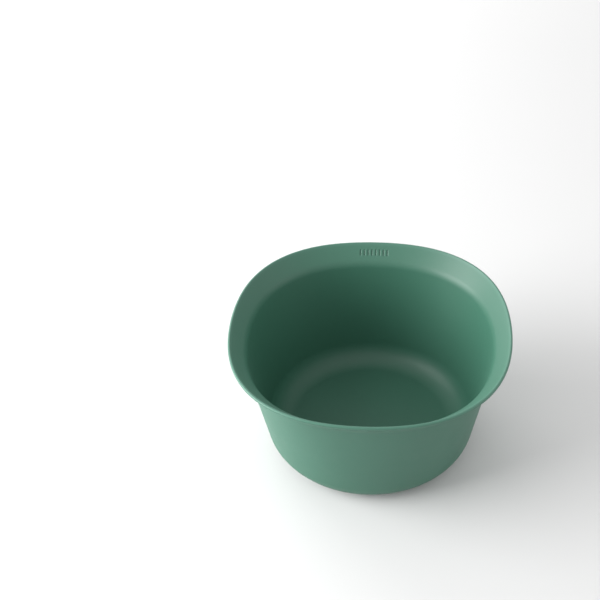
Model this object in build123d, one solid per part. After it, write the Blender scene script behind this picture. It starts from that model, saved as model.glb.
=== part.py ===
from build123d import *
import os
from math import cos, pi, radians, sin, tan

# Soft-square mixing bowl: a moulded shell with a steep wall and a wide flared rim band,
# standing on a soft ring pressed into a groove under its foot.
# Millimetres, +Z up, origin on the resting plane under the middle of the base.

# Bowl: overall size and plan
RIM_WIDTH = 270.0        # across the lip, from one flat side to the opposite one
HEIGHT = 140.0           # from the resting plane to the top of the lip
CORNER_SWELL = 0.056     # how far the lip's soft corners stand out past a circle, as a share of its radius

# Bowl: wall and base
WALL = 2.5               # thickness of the wall and of the band
WALL_DRAFT = 9.0         # degrees that the wall leans out from vertical
BASE_ROUND = 27.0        # outer radius between the base and the wall
FLOOR_THICKNESS = 3.0    # floor of the bowl inside the foot

# Bowl: flared band and lip
BAND_SLOPE = 50.0        # degrees from horizontal
BAND_RISE = 17.2         # from the corner between wall and band up to the lip's top
SHOULDER_ROUND = 17.5    # inner radius between the wall and the band
LIP_HEIGHT = 3.0         # upright face of the lip
LIP_STEP = 1.25          # how far the lip's face stands out past the band's underside
LIP_ROUND = 0.8          # radius on the lip's lower edge
LIP_CROWN = 0.65         # share of the lip's top that rounds over its outer edge
LIP_EASE = 0.2           # share of the lip's top that rounds over its inner edge

# Foot, ring groove and anti-slip ring
STAND_OFF = 0.8          # how far the ring stands out below the foot
FOOT_WIDTH = 16.0        # from the outer edge of the flat foot to the recess inside it
FOOT_DEPTH = 2.4         # how far the recess inside the foot lies above the foot
GROOVE_WIDTH = 5.0
GROOVE_DEPTH = 2.4
RING_CLEARANCE = 0.15    # on each side of the ring in its groove
RING_ROUND = 0.6         # radius on the ring's lower edges
RECESS_ROUND = 1.2       # radius around the recess inside the foot

# Moulding gate mark in the middle of the underside
GATE_DISH_RADIUS = 5.0
GATE_DISH_DEPTH = 0.6
GATE_STUB_RADIUS = 1.3
GATE_STUB_HEIGHT = 0.5

# Generic mark pressed into the band: a row of plain upright bars
BAR_COUNT = 8
BAR_PITCH = 4.0
BAR_WIDTH = 1.4
BAR_LENGTH = 6.5
BAR_DEPTH = 0.5
MARK_BELOW_LIP = 7.9     # height from the lip's top down to the middle of the bars

# How finely the curved surfaces are divided
PLAN_POINTS = 32         # points around each plan section
BASE_STEPS = 9           # sections around the base curve
SHOULDER_STEPS = 6       # sections around the shoulder curve
OVERRUN = 2.0            # how far a cutter runs past the surface that it opens

FOOT_Z = STAND_OFF
FLOOR_Z = FOOT_Z + FOOT_DEPTH + FLOOR_THICKNESS
WALL_RUN = tan(radians(WALL_DRAFT))           # outward run of the wall for each unit of height
BAND_RUN = 1 / tan(radians(BAND_SLOPE))       # outward run of the band for each unit of height
CORNER_Z = HEIGHT - BAND_RISE
LIP_BOTTOM = HEIGHT - LIP_HEIGHT
LIP_TOP = LIP_STEP + WALL / sin(radians(BAND_SLOPE)) - LIP_HEIGHT * BAND_RUN    # width of the lip's top
INNER_LIP = RIM_WIDTH / 2 - LIP_TOP
INNER_CORNER = INNER_LIP - BAND_RISE * BAND_RUN


def plan_radius(half_width, z, angle):
    """Radius of the soft-square plan; its swell grows from a round base to the lip."""
    swell = CORNER_SWELL * z / HEIGHT
    return half_width * (1 + swell * (1 - cos(4 * angle)) / 2)


def plan_section(half_width, z):
    """Closed plan outline with the given half-width across its flat sides."""
    points = []
    for index in range(PLAN_POINTS):
        angle = 2 * pi * index / PLAN_POINTS
        radius = plan_radius(half_width, z, angle)
        points.append((radius * cos(angle), radius * sin(angle), z))
    return Wire([Spline(points, periodic=True)])


def inner_wall(z):
    """Half-width of the inner wall's straight line at height z."""
    return INNER_CORNER - (CORNER_Z - z) * WALL_RUN


def outer_wall(z):
    """Half-width of the outer wall's straight line at height z."""
    return inner_wall(z) + WALL / cos(radians(WALL_DRAFT))


def inner_band(z):
    """Half-width of the band's upper face at height z."""
    return INNER_LIP - (HEIGHT - z) * BAND_RUN


def outer_band(z):
    """Half-width of the band's underside at height z."""
    return inner_band(z) + WALL / sin(radians(BAND_SLOPE))


def base_curve(wall_line, z, radius):
    """Profile points of the round from a level floor at height z up to a wall line."""
    turn = 90 - WALL_DRAFT
    start = wall_line(z) - radius * tan(radians(turn / 2))
    points = []
    for step in range(BASE_STEPS + 1):
        angle = radians(turn * step / BASE_STEPS)
        points.append((start + radius * sin(angle), z + radius * (1 - cos(angle))))
    return points


def shoulder_curve(wall_line, band_line, radius):
    """Profile points of the round from the wall line out to the band line."""
    corner_z = CORNER_Z + (wall_line(CORNER_Z) - band_line(CORNER_Z)) / (BAND_RUN - WALL_RUN)
    turn = 90 - WALL_DRAFT - BAND_SLOPE
    tangent = radius * tan(radians(turn / 2))
    start_z = corner_z - tangent * cos(radians(WALL_DRAFT))
    centre_x = wall_line(start_z) + radius * cos(radians(WALL_DRAFT))
    centre_z = start_z - radius * sin(radians(WALL_DRAFT))
    points = []
    for step in range(SHOULDER_STEPS + 1):
        angle = radians(WALL_DRAFT + turn * step / SHOULDER_STEPS)
        points.append((centre_x - radius * cos(angle), centre_z + radius * sin(angle)))
    return points


def stack(wall_line, band_line, floor_z, top_z, base_round, shoulder_round):
    """Solid that fills one side of the shell: base curve, straight wall, shoulder, straight band."""
    base = base_curve(wall_line, floor_z, base_round)
    shoulder = shoulder_curve(wall_line, band_line, shoulder_round)
    wall = [base[-1], shoulder[0]]
    band = [shoulder[-1], (band_line(top_z), top_z)]
    return lofted(base) + lofted(wall) + lofted(shoulder) + lofted(band)


def lofted(profile):
    """Solid whose plan sections follow a stretch of half-widths and heights."""
    sections = [plan_section(half_width, z) for half_width, z in profile]
    return Solid.make_loft(sections, ruled=len(sections) == 2)


def disc(radius, bottom_z, top_z):
    """Upright round solid between two heights."""
    return Pos(0, 0, bottom_z) * Cylinder(
        radius, top_z - bottom_z, align=(Align.CENTER, Align.CENTER, Align.MIN)
    )


def annulus(inner_radius, outer_radius, bottom_z, top_z):
    """Upright round tube between two heights."""
    return disc(outer_radius, bottom_z, top_z) - disc(inner_radius, bottom_z, top_z)


FOOT_RADIUS = base_curve(outer_wall, FOOT_Z, BASE_ROUND)[0][0]
RECESS_RADIUS = FOOT_RADIUS - FOOT_WIDTH
GROOVE_RADIUS = FOOT_RADIUS - FOOT_WIDTH / 2


def shell():
    """The bowl's wall, floor and flared band, with its lip."""
    outside = stack(outer_wall, outer_band, FOOT_Z, LIP_BOTTOM, BASE_ROUND, SHOULDER_ROUND - WALL)
    lip = extrude(Face(plan_section(RIM_WIDTH / 2, LIP_BOTTOM)), amount=LIP_HEIGHT, dir=(0, 0, 1))
    inside = stack(inner_wall, inner_band, FLOOR_Z, HEIGHT + OVERRUN, BASE_ROUND - WALL, SHOULDER_ROUND)
    return rounded_lip(outside + lip - inside)


def level_faces(body):
    """The body's level faces, from the lowest to the highest."""
    return body.faces().filter_by(Plane.XY).sort_by(Axis.Z)


def rounded_lip(body):
    """Body with the lip's lower edge, its outer edge and its inner edge rounded, in that order."""
    body = body.fillet(LIP_ROUND, level_faces(body)[-2].outer_wire().edges())
    body = body.fillet(LIP_CROWN * LIP_TOP, level_faces(body)[-1].outer_wire().edges())
    return body.fillet(LIP_EASE * LIP_TOP, level_faces(body)[-1].inner_wires()[0].edges())


def foot_cuts():
    """What the underside leaves out: the recess inside the foot and the ring's groove."""
    recess = disc(RECESS_RADIUS, FOOT_Z - OVERRUN, FOOT_Z + FOOT_DEPTH)
    recess = fillet(recess.edges().group_by(Axis.Z)[-1], RECESS_ROUND)
    groove = annulus(
        GROOVE_RADIUS - GROOVE_WIDTH / 2,
        GROOVE_RADIUS + GROOVE_WIDTH / 2,
        FOOT_Z - OVERRUN,
        FOOT_Z + GROOVE_DEPTH,
    )
    return recess + groove


def gate_mark(body):
    """Dish with a low stub where the plastic entered the mould."""
    underside = FOOT_Z + FOOT_DEPTH
    dish_top = underside + GATE_DISH_DEPTH
    body = body - disc(GATE_DISH_RADIUS, underside - OVERRUN, dish_top)
    return body + disc(GATE_STUB_RADIUS, dish_top - GATE_STUB_HEIGHT, dish_top + GATE_STUB_HEIGHT)


def mark_bars():
    """Row of plain bars that is pressed into the band at the middle of the back."""
    z = HEIGHT - MARK_BELOW_LIP
    bars = []
    for index in range(BAR_COUNT):
        offset = (index - (BAR_COUNT - 1) / 2) * BAR_PITCH
        angle = pi / 2 - offset / inner_band(z)
        radius = plan_radius(inner_band(z), z, angle)
        on_band = Plane(
            origin=(radius * cos(angle), radius * sin(angle), z),
            x_dir=(sin(angle), -cos(angle), 0),
            z_dir=(-cos(angle) / BAND_RUN, -sin(angle) / BAND_RUN, 1),
        )
        outline = SlotOverall(BAR_LENGTH, BAR_WIDTH, rotation=90)
        bars.append(extrude(on_band * outline, amount=BAR_DEPTH, both=True))
    return bars


def bowl():
    body = shell() - foot_cuts()
    body = gate_mark(body)
    for bar in mark_bars():
        body = body - bar
    return body.solid()


def anti_slip_ring():
    inner_radius = GROOVE_RADIUS - GROOVE_WIDTH / 2 + RING_CLEARANCE
    outer_radius = GROOVE_RADIUS + GROOVE_WIDTH / 2 - RING_CLEARANCE
    ring = annulus(inner_radius, outer_radius, 0, FOOT_Z + GROOVE_DEPTH)
    return fillet(ring.edges().group_by(Axis.Z)[0], RING_ROUND).solid()


os.makedirs("parts", exist_ok=True)
export_step(bowl(), "parts/bowl.step")
export_step(anti_slip_ring(), "parts/anti_slip_ring.step")
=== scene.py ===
"""Looks of the soft-square mixing bowl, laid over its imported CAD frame."""

from math import cos, pi, radians, sin, tan

import bpy
from bpy.props import FloatProperty, FloatVectorProperty, IntProperty, PointerProperty
from mathutils import Matrix, Quaternion, Vector


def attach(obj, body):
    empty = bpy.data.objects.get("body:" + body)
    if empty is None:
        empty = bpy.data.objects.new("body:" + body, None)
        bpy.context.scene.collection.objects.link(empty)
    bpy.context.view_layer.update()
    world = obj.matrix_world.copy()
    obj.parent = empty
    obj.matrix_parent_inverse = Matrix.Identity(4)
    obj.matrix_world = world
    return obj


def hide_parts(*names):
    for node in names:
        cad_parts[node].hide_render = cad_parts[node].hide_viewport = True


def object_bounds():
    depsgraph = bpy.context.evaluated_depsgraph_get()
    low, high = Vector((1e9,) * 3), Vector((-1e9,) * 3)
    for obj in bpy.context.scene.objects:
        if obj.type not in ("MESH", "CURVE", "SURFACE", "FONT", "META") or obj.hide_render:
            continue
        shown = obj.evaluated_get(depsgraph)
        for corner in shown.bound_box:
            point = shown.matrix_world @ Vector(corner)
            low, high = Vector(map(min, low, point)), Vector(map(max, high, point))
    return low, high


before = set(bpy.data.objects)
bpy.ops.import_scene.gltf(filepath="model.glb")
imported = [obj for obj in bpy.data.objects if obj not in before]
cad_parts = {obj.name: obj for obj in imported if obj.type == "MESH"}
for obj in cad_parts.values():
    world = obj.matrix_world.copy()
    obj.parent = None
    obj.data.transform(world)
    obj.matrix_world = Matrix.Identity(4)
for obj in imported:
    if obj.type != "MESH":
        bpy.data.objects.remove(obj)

bl_info = {
    "name": "Mixing Bowl",
    "version": (1, 0, 0),
    "blender": (4, 5, 0),
    "location": "3D View > Sidebar > Mixing Bowl",
    "description": "Builds a moulded mixing bowl with its anti-slip ring and a plain studio",
    "category": "Add Mesh",
}

CAD_LOW, CAD_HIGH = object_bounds()
BACK = pi / 2                 # plan angle of the bowl's back, where the mark is
MARK_ATTRIBUTE = "pressed_mark"
MERGE_DISTANCE = 1e-7         # metres: closes seams and poles without joining real detail
WEAR_DEPTH = 0.0003           # metres: how far up from the foot and from the floor their wear reaches
STIR_LENGTH = 0.03            # metres: how far a utensil's mark runs round the floor
SUPPORT = 0.0003              # metres: narrow row at each end of a straight run, which keeps rounds crisp

# Lamps: name, azimuth from the front round to the right in degrees, then in metres the height,
# the distance along the floor, and the panel's width and depth
LAMPS = [
    ("side", -80, 0.45, 1.22, 1.2, 0.8),
    ("key", -75, 1.01, 1.61, 1.2, 1.2),
    ("corner", -145, 0.62, 1.84, 1.2, 1.2),
    ("back", 180, 0.65, 1.79, 1.2, 1.2),
    ("right", 80, 0.50, 1.52, 1.0, 0.8),
]


# ---------------------------------------------------------------- properties


def length(name, default, description):
    """Length property, in metres."""
    return FloatProperty(
        name=name,
        description=description,
        default=default,
        min=0.0,
        precision=5,
        subtype="DISTANCE",
        unit="LENGTH",
    )


def angle(name, default, description):
    """Angle property whose default is given in degrees."""
    return FloatProperty(
        name=name,
        description=description,
        default=radians(default),
        subtype="ANGLE",
        unit="ROTATION",
    )


def share(name, default, description):
    """Property that runs from none to all."""
    return FloatProperty(
        name=name, description=description, default=default, min=0.0, max=1.0, subtype="FACTOR"
    )


def count(name, default, description):
    """Whole number of at least one."""
    return IntProperty(name=name, description=description, default=default, min=1)


def colour(name, default, description):
    """Linear colour property."""
    return FloatVectorProperty(
        name=name, description=description, default=default, size=3, min=0.0, max=1.0, subtype="COLOR"
    )


def power(name, default, description):
    """Power of a lamp, in watts."""
    return FloatProperty(name=name, description=description, default=default, min=0.0, unit="POWER")


class ShellSizes(bpy.types.PropertyGroup):
    rim_width: length("Rim width", CAD_HIGH.x - CAD_LOW.x, "Across the lip, flat side to flat side")
    height: length("Height", CAD_HIGH.z, "From the resting plane to the top of the lip")
    corner_swell: share("Corner swell", 0.056, "How far the lip's corners stand out past a circle")
    wall: length("Wall", 0.0025, "Thickness of the wall and of the band")
    wall_draft: angle("Wall draft", 9.0, "How far the wall leans out from vertical")
    base_round: length("Base round", 0.027, "Outer radius between the base and the wall")
    floor_thickness: length("Floor", 0.003, "Thickness of the floor inside the foot")
    band_slope: angle("Band slope", 50.0, "Slope of the flared band above horizontal")
    band_rise: length("Band rise", 0.0172, "From the corner between wall and band up to the lip's top")
    shoulder_round: length("Shoulder round", 0.0175, "Inner radius between the wall and the band")
    lip_height: length("Lip height", 0.003, "Upright face of the lip")
    lip_step: length("Lip step", 0.00125, "How far the lip stands out past the band's underside")
    lip_round: length("Lip round", 0.0008, "Radius on the lip's lower edge")
    lip_crown: share("Lip crown", 0.65, "Part of the lip's top that rounds over its outer edge")
    lip_ease: share("Lip ease", 0.2, "Part of the lip's top that rounds over its inner edge")


class FootSizes(bpy.types.PropertyGroup):
    stand_off: length("Stand-off", 0.0008, "How far the ring stands out below the foot")
    width: length("Foot width", 0.016, "From the outer edge of the flat foot to the recess inside it")
    depth: length("Foot depth", 0.0024, "How far the recess lies above the foot")
    recess_round: length("Recess round", 0.0012, "Radius around the recess")
    groove_width: length("Groove width", 0.005, "Width of the ring's groove")
    groove_depth: length("Groove depth", 0.0024, "Depth of the ring's groove")
    small_round: length("Small round", 0.0003, "Radius on the foot's small edges")
    dish_radius: length("Gate dish radius", 0.005, "Dish around the moulding gate")
    dish_depth: length("Gate dish depth", 0.0006, "Depth of that dish")
    stub_radius: length("Gate stub radius", 0.0013, "Stub left by the moulding gate")
    stub_height: length("Gate stub height", 0.0005, "Height of that stub")


class MarkSizes(bpy.types.PropertyGroup):
    bars: count("Bars", 8, "Plain bars pressed into the band at the back")
    pitch: length("Pitch", 0.0040, "From one bar to the next")
    bar_width: length("Bar width", 0.0014, "Width of a bar")
    bar_length: length("Bar length", 0.0065, "Length of a bar along the band's slope")
    bar_depth: length("Bar depth", 0.0005, "How deep a bar is pressed in")
    soft_edge: length("Soft edge", 0.0005, "Width of a bar's sloping edge")
    below_lip: length("Below lip", 0.0079, "Height from the lip's top down to the middle of the bars")
    margin: length("Margin", 0.002, "Finely divided strip on each side of the bars")


class RingSizes(bpy.types.PropertyGroup):
    clearance: length("Clearance", 0.00015, "Gap on each side of the ring in its groove")
    lower_round: length("Lower round", 0.0006, "Radius on the ring's lower edges")
    channel_width: length("Channel width", 0.0012, "Width of the channel along the ring's underside")
    channel_depth: length("Channel depth", 0.0003, "Depth of that channel")


class MeshDetail(bpy.types.PropertyGroup):
    fine_columns: count("Fine columns", 92, "Divisions around the marked stretch of the band")
    coarse_columns: count("Coarse columns", 176, "Divisions around the rest of the plan")
    mark_rows: count("Mark rows", 46, "Divisions up the band's upper face")
    ring_columns: count("Ring columns", 240, "Divisions around the ring")


class Finish(bpy.types.PropertyGroup):
    plastic: colour("Plastic", (0.036, 0.126, 0.084), "Colour of the bowl's plastic")
    plastic_tint: colour("Plastic tint", (0.041, 0.138, 0.094), "Paler tone that clouds the plastic")
    worn_edge: colour("Worn edge", (0.060, 0.165, 0.119), "Colour of the lip and foot where they are worn")
    # Painted shade: a darker green laid into the pressed bars, standing in for the shade in the recess.
    mark_painted_shade: colour("Mark shade", (0.004, 0.060, 0.036), "Colour down in the pressed mark")
    plastic_roughness: share("Plastic roughness", 0.48, "Roughness of the satin plastic")
    rubber: colour("Rubber", (0.030, 0.062, 0.050), "Colour of the anti-slip ring")
    rubber_dust: colour("Rubber dust", (0.085, 0.105, 0.095), "Dust that settles on the ring")
    rubber_roughness: share("Rubber roughness", 0.78, "Roughness of the anti-slip ring")


class Studio(bpy.types.PropertyGroup):
    floor_size: length("Floor size", 60.0, "Side of the square floor")
    floor_colour: colour("Floor", (0.62, 0.62, 0.62), "Colour of the floor around the bowl")
    # Painted light: the far floor is paler to make up for the lamps' light, which does not reach that far.
    far_floor_painted_light: colour("Far floor", (0.93, 0.93, 0.93), "Colour of the floor far from the bowl")
    floor_fade_start: length("Fade start", 1.0, "Distance where the floor starts to turn paler")
    floor_fade_end: length("Fade end", 3.0, "Distance where the floor is palest")
    ambient: FloatProperty(name="Ambient", description="Strength of the room's light", default=0.85)
    side_power: power("Side power", 24.4, "Power of the low, wide lamp on the left")
    key_power: power("Key power", 22.5, "Power of the large lamp above it")
    corner_power: power("Corner power", 14.1, "Power of the low lamp at the back left")
    back_power: power("Back power", 5.6, "Power of the lamp behind")
    right_power: power("Right power", 3.2, "Power of the weak lamp on the right, which lifts the shadow")


class CameraSetup(bpy.types.PropertyGroup):
    azimuth: angle("Azimuth", 2.417, "How far the camera stands round to the right of the front")
    elevation: angle("Elevation", 41.49, "Height of the view above horizontal")
    distance: length("Distance", 1.0168, "From the camera to the middle of the bowl's mouth")
    orbit_height: length("Orbit height", 0.127, "Height of the point that the distance is taken from")
    roll: angle("Roll", -3.33, "Turn of the camera about its line of sight")
    lens: FloatProperty(name="Lens", description="Focal length", default=63.02, unit="CAMERA")
    aim: FloatVectorProperty(
        name="Aim",
        description="Point at the middle of the view",
        default=(-0.0676, 0.0180, 0.1547),
        size=3,
        subtype="XYZ",
        unit="LENGTH",
    )


class BowlSettings(bpy.types.PropertyGroup):
    shell: PointerProperty(type=ShellSizes)
    foot: PointerProperty(type=FootSizes)
    mark: PointerProperty(type=MarkSizes)
    ring: PointerProperty(type=RingSizes)
    detail: PointerProperty(type=MeshDetail)
    finish: PointerProperty(type=Finish)
    studio: PointerProperty(type=Studio)
    camera: PointerProperty(type=CameraSetup)


# --------------------------------------------------------------- node graphs


class Value:
    """A node's output that takes part in Python arithmetic; each operator adds its Math node."""

    def __init__(self, graph, socket):
        self.graph = graph
        self.socket = socket

    def outputs(self):
        """All the shown outputs of this value's node."""
        return [Value(self.graph, socket) for socket in self.socket.node.outputs if socket.enabled]

    def __add__(self, other):
        return self.graph.math("ADD", self, other)

    def __radd__(self, other):
        return self.graph.math("ADD", other, self)

    def __sub__(self, other):
        return self.graph.math("SUBTRACT", self, other)

    def __rsub__(self, other):
        return self.graph.math("SUBTRACT", other, self)

    def __mul__(self, other):
        return self.graph.math("MULTIPLY", self, other)

    def __rmul__(self, other):
        return self.graph.math("MULTIPLY", other, self)

    def __truediv__(self, other):
        return self.graph.math("DIVIDE", self, other)

    def __rtruediv__(self, other):
        return self.graph.math("DIVIDE", other, self)


class Graph:
    """A node tree under construction."""

    def __init__(self, tree):
        self.tree = tree

    def node(self, kind, settings=None, sockets=None):
        """Adds a node, sets it up, fills its sockets and returns its first shown output."""
        made = self.tree.nodes.new(kind)
        for name, value in (settings or {}).items():
            if name == "stops":
                self.set_stops(made.color_ramp, value)
            else:
                setattr(made, name, value)
        for key, value in (sockets or {}).items():
            self.plug(self.find_input(made, key), value)
        shown = [socket for socket in made.outputs if socket.enabled]
        return Value(self, shown[0]) if shown else made

    @staticmethod
    def set_stops(ramp, stops):
        """Gives a colour ramp its stops, as (position, grey level)."""
        ramp.elements[0].position = stops[0][0]
        ramp.elements[-1].position = stops[-1][0]
        for position, _ in stops[1:-1]:
            ramp.elements.new(position)
        for element, (_, level) in zip(ramp.elements, stops):
            element.color = (level, level, level, 1.0)

    @staticmethod
    def find_input(node, key):
        if isinstance(key, int):
            return node.inputs[key]
        return next(socket for socket in node.inputs if socket.enabled and socket.name == key)

    def plug(self, socket, value):
        if isinstance(value, Value):
            self.tree.links.new(value.socket, socket)
        else:
            socket.default_value = value

    def named_inputs(self, sockets):
        """Adds inputs to a group, as (name, socket type), and returns their values by name."""
        for name, kind in sockets:
            self.tree.interface.new_socket(name, in_out="INPUT", socket_type=kind)
        entry = self.node("NodeGroupInput")
        return {value.socket.name: value for value in entry.outputs() if value.socket.name}

    def math(self, operation, *values):
        return self.node("ShaderNodeMath", {"operation": operation}, dict(enumerate(values)))

    def combine(self, x, y, z):
        return self.node("ShaderNodeCombineXYZ", None, {"X": x, "Y": y, "Z": z})

    def separate(self, vector):
        return self.node("ShaderNodeSeparateXYZ", None, {"Vector": vector}).outputs()

    def smooth_range(self, value, low, high):
        """Rises smoothly from 0 at low to 1 at high."""
        settings = {"interpolation_type": "SMOOTHSTEP"}
        return self.node("ShaderNodeMapRange", settings, {"Value": value, "From Min": low, "From Max": high})

    def noise(self, vector, cell, detail=2.0, roughness=0.5):
        """Noise whose blobs measure about one cell, in metres."""
        sockets = {"Vector": vector, "Scale": 1 / cell, "Detail": detail, "Roughness": roughness}
        return self.node("ShaderNodeTexNoise", None, sockets)

    def mix_colours(self, factor, first, second):
        settings = {"data_type": "RGBA"}
        return self.node("ShaderNodeMix", settings, {"Factor": factor, "A": first, "B": second})

    def bump(self, height, distance, strength, normal=None):
        sockets = {"Height": height, "Distance": distance, "Strength": strength}
        if normal is not None:
            sockets["Normal"] = normal
        return self.node("ShaderNodeBump", None, sockets)


def rgba(rgb):
    """Colour with full alpha."""
    return (*rgb, 1.0)


# ------------------------------------------------------------------ outlines


def rounded_outline(corners, closed=False):
    """Points along straight runs joined by arcs.

    A corner is (x, z, radius, arc steps, run steps); the run steps divide the straight run after it.
    """
    arcs = []
    for index, (x, z, radius, arc_steps, _) in enumerate(corners):
        corner = Vector((x, z))
        if radius == 0:
            arcs.append([corner])
            continue
        before = Vector(corners[index - 1][:2])
        after = Vector(corners[(index + 1) % len(corners)][:2])
        arcs.append(corner_arc(before, corner, after, radius, arc_steps))
    points = []
    last = len(corners) if closed else len(corners) - 1
    for index in range(last):
        points += arcs[index]
        end = arcs[(index + 1) % len(arcs)][0]
        points += run_points(arcs[index][-1], end, corners[index][4])
    points += arcs[0][:1] if closed else arcs[-1]
    return points


def corner_arc(before, corner, after, radius, steps):
    """Points of the arc that rounds a corner, from one straight run to the next."""
    way_in = (corner - before).normalized()
    way_out = (after - corner).normalized()
    turn = way_in.angle_signed(way_out)
    start = corner - way_in * radius * tan(abs(turn) / 2)
    side = -1 if turn > 0 else 1
    centre = start + Vector((-way_in.y, way_in.x)) * radius * side
    arm = start - centre
    return [centre + Matrix.Rotation(-turn * step / steps, 2) @ arm for step in range(steps + 1)]


def run_points(start, end, steps):
    """Inner points of a straight run, with a narrow row at each end where there is room."""
    run = end - start
    shares = [step / steps for step in range(1, steps)]
    narrow = SUPPORT / run.length
    if narrow < 0.25 / steps:
        shares = [narrow, *shares, 1 - narrow]
    return [start + run * part for part in shares]


class ShellLines:
    """The straight lines of the shell's section, which its corners and the foot are measured from."""

    def __init__(self, shell, foot):
        self.shell = shell
        self.wall_run = tan(shell.wall_draft)
        self.band_run = 1 / tan(shell.band_slope)
        self.lip_bottom = shell.height - shell.lip_height
        self.lip_top = shell.lip_step + shell.wall / sin(shell.band_slope) - shell.lip_height * self.band_run
        self.inner_lip = shell.rim_width / 2 - self.lip_top
        self.corner_z = shell.height - shell.band_rise
        self.inner_corner = self.inner_lip - shell.band_rise * self.band_run
        self.foot_z = foot.stand_off
        self.underside_z = foot.stand_off + foot.depth
        self.floor_z = self.underside_z + shell.floor_thickness
        base_turn = pi / 2 - shell.wall_draft
        foot_radius = self.outer_wall(self.foot_z) - shell.base_round * tan(base_turn / 2)
        self.recess_radius = foot_radius - foot.width
        self.groove_radius = foot_radius - foot.width / 2
        self.groove_top = foot.stand_off + foot.groove_depth

    def inner_wall(self, z):
        return self.inner_corner - (self.corner_z - z) * self.wall_run

    def outer_wall(self, z):
        return self.inner_wall(z) + self.shell.wall / cos(self.shell.wall_draft)

    def inner_band(self, z):
        return self.inner_lip - (self.shell.height - z) * self.band_run

    def outer_band(self, z):
        return self.inner_band(z) + self.shell.wall / sin(self.shell.band_slope)

    def outer_corner(self):
        """Where the wall's outer line meets the band's underside."""
        gap = self.outer_wall(self.corner_z) - self.outer_band(self.corner_z)
        z = self.corner_z + gap / (self.band_run - self.wall_run)
        return self.outer_wall(z), z


def shell_outline(settings):
    """Section of the bowl, from the middle of its underside round to the middle of its floor."""
    shell = settings.shell
    foot = settings.foot
    lines = ShellLines(shell, foot)
    small = foot.small_round
    dish_top = lines.underside_z + foot.dish_depth
    stub_end = dish_top - foot.stub_height
    groove_inner = lines.groove_radius - foot.groove_width / 2
    groove_outer = lines.groove_radius + foot.groove_width / 2
    outer_corner = lines.outer_corner()
    underside = [
        (0, stub_end, 0, 0, 2),
        (foot.stub_radius, stub_end, small / 2, 3, 1),
        (foot.stub_radius, dish_top, small / 2, 3, 2),
        (foot.dish_radius, dish_top, small / 2, 3, 1),
        (foot.dish_radius, lines.underside_z, small / 2, 3, 10),
        (lines.recess_radius, lines.underside_z, foot.recess_round, 5, 1),
        (lines.recess_radius, lines.foot_z, small, 4, 2),
        (groove_inner, lines.foot_z, small, 3, 1),
        (groove_inner, lines.groove_top, small, 3, 2),
        (groove_outer, lines.groove_top, small, 3, 1),
        (groove_outer, lines.foot_z, small, 3, 3),
    ]
    outside = [
        (lines.outer_wall(lines.foot_z), lines.foot_z, shell.base_round, 28, 20),
        (*outer_corner, shell.shoulder_round - shell.wall, 12, 4),
        (lines.outer_band(lines.lip_bottom), lines.lip_bottom, small, 4, 1),
    ]
    lip = [
        (shell.rim_width / 2, lines.lip_bottom, shell.lip_round, 6, 1),
        (shell.rim_width / 2, shell.height, shell.lip_crown * lines.lip_top, 8, 1),
        (lines.inner_lip, shell.height, shell.lip_ease * lines.lip_top, 4, settings.detail.mark_rows),
    ]
    inside = [
        (lines.inner_corner, lines.corner_z, shell.shoulder_round, 14, 22),
        (lines.inner_wall(lines.floor_z), lines.floor_z, shell.base_round - shell.wall, 28, 12),
        (0, lines.floor_z, 0, 0, 0),
    ]
    return rounded_outline(underside + outside + lip + inside)


def ring_outline(settings):
    """Closed section of the anti-slip ring, with a shallow channel along its underside."""
    foot = settings.foot
    ring = settings.ring
    lines = ShellLines(settings.shell, foot)
    half = foot.groove_width / 2 - ring.clearance
    inner = lines.groove_radius - half
    outer = lines.groove_radius + half
    channel = ring.channel_width / 2
    round_off = ring.channel_depth / 2
    corners = [
        (inner, 0, ring.lower_round, 6, 2),
        (lines.groove_radius - channel - round_off, 0, round_off, 3, 1),
        (lines.groove_radius - channel, ring.channel_depth, round_off, 3, 2),
        (lines.groove_radius + channel, ring.channel_depth, round_off, 3, 1),
        (lines.groove_radius + channel + round_off, 0, round_off, 3, 2),
        (outer, 0, ring.lower_round, 6, 3),
        (outer, lines.groove_top, foot.small_round, 3, 4),
        (inner, lines.groove_top, foot.small_round, 3, 3),
    ]
    return rounded_outline(corners, closed=True)


# ------------------------------------------------------------ geometry nodes


TURNING_INPUTS = [
    ("Geometry", "NodeSocketGeometry"),
    ("Height", "NodeSocketFloat"),
    ("Corner Swell", "NodeSocketFloat"),
    ("Fine Arc", "NodeSocketFloat"),
    ("Fine Columns", "NodeSocketInt"),
    ("Coarse Columns", "NodeSocketInt"),
    ("Mark Radius", "NodeSocketFloat"),
    ("Mark Height", "NodeSocketFloat"),
    ("Band Slope", "NodeSocketFloat"),
    ("Bars", "NodeSocketFloat"),
    ("Pitch", "NodeSocketFloat"),
    ("Bar Width", "NodeSocketFloat"),
    ("Bar Length", "NodeSocketFloat"),
    ("Bar Depth", "NodeSocketFloat"),
    ("Soft Edge", "NodeSocketFloat"),
    ("Material", "NodeSocketMaterial"),
]


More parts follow.
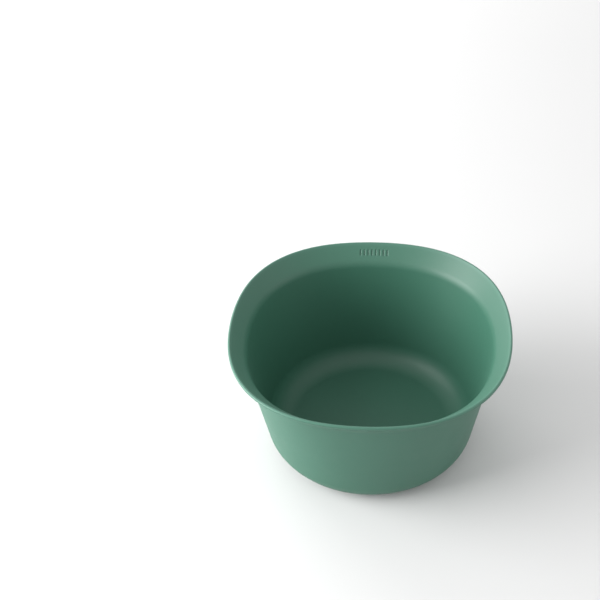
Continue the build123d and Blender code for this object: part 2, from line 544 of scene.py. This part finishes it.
def turning_tree():
    """Geometry nodes that carry an outline round a soft-square plan and press bars into its band."""
    tree = bpy.data.node_groups.new("turn_on_soft_square", "GeometryNodeTree")
    tree.interface.new_socket("Geometry", in_out="OUTPUT", socket_type="NodeSocketGeometry")
    graph = Graph(tree)
    given = graph.named_inputs(TURNING_INPUTS)
    outline = given["Geometry"]

    rows = graph.node("GeometryNodeAttributeDomainSize", {"component": "MESH"}, {"Geometry": outline})
    columns = given["Fine Columns"] + given["Coarse Columns"] + 1
    sheet = graph.node("GeometryNodeMeshGrid", None, {"Vertices X": rows, "Vertices Y": columns})
    index = graph.node("GeometryNodeInputIndex")
    row = graph.math("FLOOR", (index + 0.5) / columns)
    column = index - row * columns
    place = graph.node(
        "GeometryNodeSampleIndex",
        {"data_type": "FLOAT_VECTOR", "domain": "POINT"},
        {"Geometry": outline, "Value": graph.node("GeometryNodeInputPosition"), "Index": row},
    )
    half_width, _, z = graph.separate(place)

    fine_share = graph.math("MINIMUM", column / given["Fine Columns"], 1.0)
    coarse_share = graph.math("MAXIMUM", (column - given["Fine Columns"]) / given["Coarse Columns"], 0.0)
    turn = BACK + given["Fine Arc"] * (fine_share - 0.5) + (2 * pi - given["Fine Arc"]) * coarse_share
    cosine = graph.math("COSINE", turn)
    sine = graph.math("SINE", turn)
    swell = given["Corner Swell"] * z / given["Height"]
    radius = half_width * (1 + swell * (1 - graph.math("COSINE", turn * 4)) * 0.5)
    x = radius * cosine
    y = radius * sine

    slope_sine = graph.math("SINE", given["Band Slope"])
    slope_cosine = graph.math("COSINE", given["Band Slope"])
    out_from_mark = half_width - given["Mark Radius"]
    up_from_mark = z - given["Mark Height"]
    off_band = graph.math("ABSOLUTE", out_from_mark * slope_sine - up_from_mark * slope_cosine)
    along_slope = graph.math("ABSOLUTE", out_from_mark * slope_cosine + up_from_mark * slope_sine)
    half_count = (given["Bars"] - 1) * 0.5
    nearest = graph.math("ROUND", x / given["Pitch"] + half_count)
    bar = graph.math("MINIMUM", graph.math("MAXIMUM", nearest, 0.0), given["Bars"] - 1)
    across = x - (bar - half_count) * given["Pitch"]
    past_end = graph.math("MAXIMUM", along_slope - (given["Bar Length"] - given["Bar Width"]) * 0.5, 0.0)
    from_edge = graph.math("SQRT", across * across + past_end * past_end) - given["Bar Width"] * 0.5
    pressed = graph.smooth_range(from_edge, given["Soft Edge"] * 0.5, given["Soft Edge"] * -0.5)
    on_band = graph.math("LESS_THAN", off_band, given["Bar Depth"] * 0.5)
    at_back = graph.math("GREATER_THAN", sine, 0.0)
    mark = pressed * on_band * at_back
    depth = mark * given["Bar Depth"]
    surface = graph.combine(
        x + depth * slope_sine * cosine, y + depth * slope_sine * sine, z - depth * slope_cosine
    )

    marked = graph.node(
        "GeometryNodeStoreNamedAttribute",
        {"data_type": "FLOAT", "domain": "POINT"},
        {"Geometry": sheet, "Name": MARK_ATTRIBUTE, "Value": mark},
    )
    shaped = graph.node("GeometryNodeSetPosition", None, {"Geometry": marked, "Position": surface})
    closed = graph.node(
        "GeometryNodeMergeByDistance", None, {"Geometry": shaped, "Distance": MERGE_DISTANCE}
    )
    outward = graph.node("GeometryNodeFlipFaces", None, {"Mesh": closed})
    smooth = graph.node("GeometryNodeSetShadeSmooth", None, {"Geometry": outward})
    real = graph.node("GeometryNodeRealizeInstances", None, {"Geometry": smooth})
    finished = graph.node(
        "GeometryNodeSetMaterial", None, {"Geometry": real, "Material": given["Material"]}
    )
    graph.node("NodeGroupOutput", None, {"Geometry": finished})
    return tree


def outline_mesh(name, points):
    """Open chain of vertices and edges in the XZ plane."""
    mesh = bpy.data.meshes.new(name)
    vertices = [(point.x, 0.0, point.y) for point in points]
    edges = [(index, index + 1) for index in range(len(points) - 1)]
    mesh.from_pydata(vertices, edges, [])
    return mesh


def turned_piece(name, points, values):
    """Piece made by carrying an outline round the plan; its modifier is baked into a plain mesh."""
    piece = bpy.data.objects.new(name, outline_mesh(name + "_outline", points))
    bpy.context.scene.collection.objects.link(piece)
    modifier = piece.modifiers.new("Turning", "NODES")
    modifier.node_group = bpy.data.node_groups.get("turn_on_soft_square") or turning_tree()
    for item in modifier.node_group.interface.items_tree:
        if item.in_out == "INPUT" and item.name in values:
            modifier[item.identifier] = values[item.name]
    evaluated = piece.evaluated_get(bpy.context.evaluated_depsgraph_get())
    piece.data = bpy.data.meshes.new_from_object(evaluated)
    piece.data.name = name
    piece.modifiers.remove(modifier)
    if not piece.data.polygons:
        raise RuntimeError(name + " came out empty")
    return piece


# ----------------------------------------------------------------- materials


def new_material(name):
    """Material with an empty graph, and that graph."""
    material = bpy.data.materials.new(name)
    material.use_nodes = True
    material.node_tree.nodes.clear()
    return material, Graph(material.node_tree)


def finish_surface(graph, constants, varying):
    """Adds the shader: constants sit on its own sockets, and only varying values are linked."""
    shader = graph.node("ShaderNodeBsdfPrincipled", None, {**constants, **varying})
    graph.node("ShaderNodeOutputMaterial", None, {"Surface": shader})


def plastic_material(settings):
    """Satin moulded plastic: clouded colour, fine spark-eroded grain, faint flow waves, wear, and painted
    shade down in the pressed mark.
    """
    finish = settings.finish
    shell = settings.shell
    lines = ShellLines(shell, settings.foot)
    material, graph = new_material("satin_plastic")
    place = graph.node("ShaderNodeTexCoord").outputs()[3]
    x, y, z = graph.separate(place)
    radius = graph.math("SQRT", x * x + y * y)
    clouds = graph.noise(place, cell=0.060, detail=3.0)
    speckle = graph.noise(place, cell=0.0011)
    grain = graph.noise(place, cell=0.00045, detail=3.0, roughness=0.6)
    waves = graph.noise(place, cell=0.045, detail=1.0)
    handling = graph.noise(place, cell=0.018, detail=4.0, roughness=0.6)
    swirl_place = graph.combine(radius, x / radius * STIR_LENGTH, y / radius * STIR_LENGTH)
    swirl_noise = graph.noise(swirl_place, cell=0.0012, detail=3.0, roughness=0.7)
    swirls = graph.smooth_range(swirl_noise, 0.55, 0.75)

    lip = graph.smooth_range(z, lines.lip_bottom, shell.height) * (0.35 + handling * 0.5)
    on_foot = graph.smooth_range(z, lines.foot_z + WEAR_DEPTH, lines.foot_z)
    scuffs = on_foot * graph.smooth_range(handling * 0.5 + speckle * 0.5, 0.45, 0.60)
    above_underside = graph.math("GREATER_THAN", z, (lines.underside_z + lines.floor_z) / 2)
    on_floor = graph.smooth_range(z, lines.floor_z + 4 * WEAR_DEPTH, lines.floor_z)
    inside_foot = graph.math("LESS_THAN", radius, lines.groove_radius)
    stirred = swirls * above_underside * on_floor * inside_foot
    mark = graph.node("ShaderNodeAttribute", {"attribute_name": MARK_ATTRIBUTE}).outputs()[2]

    cloud_share = clouds * 0.75 + speckle * 0.25
    body = graph.mix_colours(cloud_share, rgba(finish.plastic), rgba(finish.plastic_tint))
    worn = graph.mix_colours(lip + scuffs * 0.8, body, rgba(finish.worn_edge))
    # Painted shade: the pressed bars are pulled towards a darker green, as if shadowed in their recess.
    colour_out = graph.mix_colours(mark * 0.6, worn, rgba(finish.mark_painted_shade))
    even = finish.plastic_roughness - 0.05 + handling * 0.08 + speckle * 0.04
    roughness = even - lip * 0.05 + scuffs * 0.12 - stirred * 0.06 + mark * 0.10

    flow = graph.bump(waves, distance=0.0004, strength=0.25)
    scratched = graph.bump(stirred, distance=0.00001, strength=0.3, normal=flow)
    normal = graph.bump(grain, distance=0.00006, strength=0.5, normal=scratched)
    finish_surface(
        graph,
        {"IOR": 1.52},
        {"Base Color": colour_out, "Roughness": roughness, "Normal": normal},
    )
    return material


def rubber_material(settings):
    """Soft elastomer: matt, with fine grain and dust gathered in patches."""
    finish = settings.finish
    material, graph = new_material("soft_elastomer")
    place = graph.node("ShaderNodeTexCoord").outputs()[3]
    patches = graph.noise(place, cell=0.009, detail=4.0, roughness=0.6)
    grain = graph.noise(place, cell=0.0006, detail=3.0, roughness=0.6)
    dust = graph.smooth_range(patches * 0.7 + grain * 0.3, 0.45, 0.75) * 0.6
    colour_out = graph.mix_colours(dust, rgba(finish.rubber), rgba(finish.rubber_dust))
    roughness = finish.rubber_roughness + dust * 0.15 + grain * 0.05
    normal = graph.bump(grain, distance=0.00008, strength=0.4)
    finish_surface(
        graph,
        {"IOR": 1.46},
        {"Base Color": colour_out, "Roughness": roughness, "Normal": normal},
    )
    return material


def floor_material(studio):
    """Painted studio board with a faint roller texture; it turns paler far off, painted light that makes up
    for the lamps' light not reaching there, to meet the room.
    """
    material, graph = new_material("studio_floor")
    place = graph.node("ShaderNodeTexCoord").outputs()[3]
    x, y, _ = graph.separate(place)
    distance = graph.math("SQRT", x * x + y * y)
    clouds = graph.noise(place, cell=0.30)
    stipple = graph.noise(place, cell=0.0015)
    dull = [level * 0.985 for level in studio.floor_colour]
    near = graph.mix_colours(clouds, rgba(dull), rgba(studio.floor_colour))
    # Painted light: the floor pales between the fade start and the fade end, standing in for lamp light that
    # falls off far from the bowl.
    far = graph.smooth_range(distance, studio.floor_fade_start, studio.floor_fade_end)
    colour_out = graph.mix_colours(far, near, rgba(studio.far_floor_painted_light))
    normal = graph.bump(stipple, distance=0.00005, strength=0.2)
    finish_surface(
        graph, {"Specular IOR Level": 0.2, "Roughness": 0.7}, {"Base Color": colour_out, "Normal": normal}
    )
    return material


# ----------------------------------------------------------------- operators


class MIXING_BOWL_OT_shell(bpy.types.Operator):
    """Make the moulded bowl with its flared band, lip, foot and pressed mark"""

    bl_idname = "mixing_bowl.shell"
    bl_label = "Bowl"

    def execute(self, context):
        settings = context.scene.mixing_bowl
        shell = settings.shell
        mark = settings.mark
        lines = ShellLines(shell, settings.foot)
        mark_z = shell.height - mark.below_lip
        mark_radius = lines.inner_band(mark_z)
        fine_width = mark.bars * mark.pitch + 2 * mark.margin
        piece = turned_piece(
            "bowl_shell",
            shell_outline(settings),
            {
                "Height": shell.height,
                "Corner Swell": shell.corner_swell,
                "Fine Arc": fine_width / mark_radius,
                "Fine Columns": settings.detail.fine_columns,
                "Coarse Columns": settings.detail.coarse_columns,
                "Mark Radius": mark_radius,
                "Mark Height": mark_z,
                "Band Slope": shell.band_slope,
                "Bars": float(mark.bars),
                "Pitch": mark.pitch,
                "Bar Width": mark.bar_width,
                "Bar Length": mark.bar_length,
                "Bar Depth": mark.bar_depth,
                "Soft Edge": mark.soft_edge,
                "Material": plastic_material(settings),
            },
        )
        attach(piece, "root")
        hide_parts("bowl")
        return {"FINISHED"}


class MIXING_BOWL_OT_ring(bpy.types.Operator):
    """Make the anti-slip ring in the foot's groove"""

    bl_idname = "mixing_bowl.ring"
    bl_label = "Anti-slip ring"

    def execute(self, context):
        settings = context.scene.mixing_bowl
        columns = settings.detail.ring_columns
        piece = turned_piece(
            "foot_ring",
            ring_outline(settings),
            {
                "Height": settings.shell.height,
                "Corner Swell": 0.0,
                "Fine Arc": 2 * pi / columns,
                "Fine Columns": 1,
                "Coarse Columns": columns - 1,
                "Mark Radius": settings.shell.rim_width,
                "Pitch": settings.mark.pitch,
                "Bars": 1.0,
                "Bar Depth": 0.0,
                "Material": rubber_material(settings),
            },
        )
        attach(piece, "root")
        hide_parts("anti_slip_ring")
        return {"FINISHED"}


class MIXING_BOWL_OT_stage(bpy.types.Operator):
    """Make the pale floor, the soft lamps and the camera"""

    bl_idname = "mixing_bowl.stage"
    bl_label = "Stage"

    def execute(self, context):
        settings = context.scene.mixing_bowl
        make_floor(settings.studio)
        make_lights(context, settings.studio)
        make_camera(context, settings.camera)
        return {"FINISHED"}


def make_floor(studio):
    """Square floor under the bowl."""
    half = studio.floor_size / 2
    mesh = bpy.data.meshes.new("studio_floor")
    corners = [(-half, -half, 0), (half, -half, 0), (half, half, 0), (-half, half, 0)]
    mesh.from_pydata(corners, [], [(0, 1, 2, 3)])
    mesh.materials.append(floor_material(studio))
    floor = bpy.data.objects.new("studio_floor", mesh)
    bpy.context.scene.collection.objects.link(floor)


def soft_lamp(name, watts, azimuth, height, distance, width, depth):
    """Lamp panel facing the bowl; its azimuth runs from the front round to the right, in degrees."""
    lamp = bpy.data.lights.new(name, "AREA")
    lamp.shape = "RECTANGLE"
    lamp.size = width
    lamp.size_y = depth
    lamp.energy = watts
    place = Vector((distance * sin(radians(azimuth)), -distance * cos(radians(azimuth)), height))
    holder = bpy.data.objects.new(name, lamp)
    holder.location = place
    holder.rotation_euler = (-place).to_track_quat("-Z", "Y").to_euler()
    holder.visible_camera = False
    bpy.context.scene.collection.objects.link(holder)


def make_lights(context, studio):
    """Even room light and five soft lamps, most of their light from the left."""
    world = bpy.data.worlds.new("studio_room")
    world.use_nodes = True
    world.node_tree.nodes.clear()
    graph = Graph(world.node_tree)
    sockets = {"Color": (1.0, 1.0, 1.0, 1.0), "Strength": studio.ambient}
    room = graph.node("ShaderNodeBackground", None, sockets)
    graph.node("ShaderNodeOutputWorld", None, {"Surface": room})
    context.scene.world = world
    for name, azimuth, height, distance, width, depth in LAMPS:
        watts = getattr(studio, name + "_power")
        soft_lamp(name + "_lamp", watts, azimuth, height, distance, width, depth)


def make_camera(context, setup):
    """Camera above the front of the bowl, looking down into it."""
    lens = bpy.data.cameras.new("view")
    lens.lens = setup.lens
    camera = bpy.data.objects.new("view", lens)
    level = setup.distance * cos(setup.elevation)
    camera.location = (
        level * sin(setup.azimuth),
        -level * cos(setup.azimuth),
        setup.orbit_height + setup.distance * sin(setup.elevation),
    )
    sight = (Vector(setup.aim) - camera.location).to_track_quat("-Z", "Y")
    camera.rotation_euler = (sight @ Quaternion((0, 0, 1), setup.roll)).to_euler()
    context.scene.collection.objects.link(camera)
    context.scene.camera = camera
    context.scene.view_settings.view_transform = "Standard"


class MIXING_BOWL_PT_sidebar(bpy.types.Panel):
    """Sizes, finishes and builders of the mixing bowl"""

    bl_idname = "MIXING_BOWL_PT_sidebar"
    bl_label = "Mixing Bowl"
    bl_space_type = "VIEW_3D"
    bl_region_type = "UI"
    bl_category = "Mixing Bowl"

    def draw(self, context):
        for operator in OPERATORS:
            self.layout.operator(operator.bl_idname)
        settings = context.scene.mixing_bowl
        for group_name in settings.bl_rna.properties.keys():
            group = getattr(settings, group_name)
            if not isinstance(group, bpy.types.PropertyGroup):
                continue
            box = self.layout.box()
            box.label(text=type(group).__name__)
            for name in type(group).__annotations__:
                box.prop(group, name)


GROUPS = [
    ShellSizes,
    FootSizes,
    MarkSizes,
    RingSizes,
    MeshDetail,
    Finish,
    Studio,
    CameraSetup,
    BowlSettings,
]
OPERATORS = [MIXING_BOWL_OT_shell, MIXING_BOWL_OT_ring, MIXING_BOWL_OT_stage]


def register():
    for item in GROUPS + OPERATORS + [MIXING_BOWL_PT_sidebar]:
        bpy.utils.register_class(item)
    bpy.types.Scene.mixing_bowl = PointerProperty(type=BowlSettings)


def unregister():
    del bpy.types.Scene.mixing_bowl
    for item in reversed(GROUPS + OPERATORS + [MIXING_BOWL_PT_sidebar]):
        bpy.utils.unregister_class(item)


def main():
    register()
    bpy.ops.mixing_bowl.shell()
    bpy.ops.mixing_bowl.ring()
    bpy.ops.mixing_bowl.stage()


if __name__ == "__main__":
    main()
